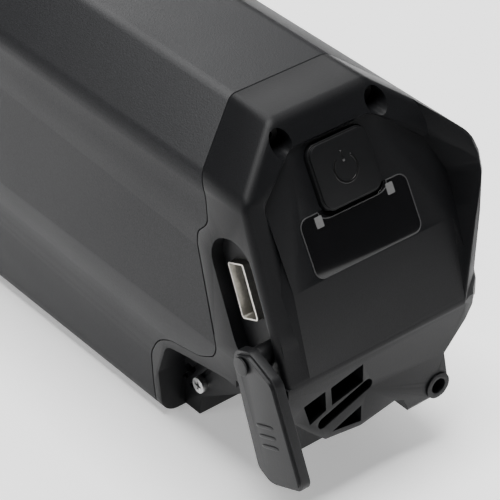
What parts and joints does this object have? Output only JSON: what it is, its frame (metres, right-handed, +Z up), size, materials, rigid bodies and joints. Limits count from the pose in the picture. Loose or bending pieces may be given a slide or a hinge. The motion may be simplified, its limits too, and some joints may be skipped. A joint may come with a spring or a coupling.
{
  "type": "battery pack",
  "caption": "Long slide-in battery pack: faceted metal tube, slanted front cap with power button, charge window, side USB port under a swinging rubber cover, rear discharge socket.",
  "frame": {"origin": "middle of the flat base face, half-way along the pack", "axes": "+Y along the pack from the front cap to the rear cap, +X to the right seen from the front, +Z up from the base face to the top flat"},
  "size_m": [0.0668, 0.3712, 0.0954],
  "materials": {
    "tube": "fine-textured black powder coat",
    "cap": "matte moulded black plastic",
    "window": "glossy black film",
    "marks": "printed light grey",
    "leds": "clear white",
    "button": "satin black",
    "parts": "matte",
    "board": "green solder mask",
    "steel": "blackened",
    "shell": "nickel plated",
    "flap": "soft black rubber",
    "bright": "zinc plated",
    "cells": "shrink sleeve",
    "leads": "silicone",
    "foam": "closed-cell foam",
    "socket": "matte black",
    "contacts": "plated brass"
  },
  "bodies": {
    "pack": {"tube": "tube", "front_cap": "cap", "charge_window": "window", "level_marks": "marks", "level_leds": "leds", "button_switch": "parts", "display_board": "board", "face_screws": "steel", "usb_shell": "shell", "usb_tongue": "parts", "usb_board": "board", "flap_post": "flap", "bay_screws": "bright", "cell_layer_1": "cells", "cell_layer_2": "cells", "cell_layer_3": "cells", "cell_layer_4": "cells", "cell_holders": "parts", "bus_strips": "bright", "bms_board": "board", "bms_parts": "parts", "power_leads": "leads", "foam_pad": "foam", "rear_cap": "cap", "rear_gasket": "flap", "rear_screws": "steel", "discharge_socket": "socket", "socket_contacts": "contacts"},
    "button": {"power_button": "button"},
    "cover": {"usb_flap": "flap"}
  },
  "joints": [
    {"name": "button_press", "type": "slide", "parent": "pack", "child": "button", "axis": [0, 0.8686, -0.4955], "range_m": [0, 0.0008], "stiffness_N_per_m": 600},
    {"name": "cover_swing", "type": "hinge", "parent": "pack", "child": "cover", "pos_m": [-0.03, -0.1708, 0.0466], "axis": [-1, 0, 0], "range_deg": [-25, 180]}
  ]
}
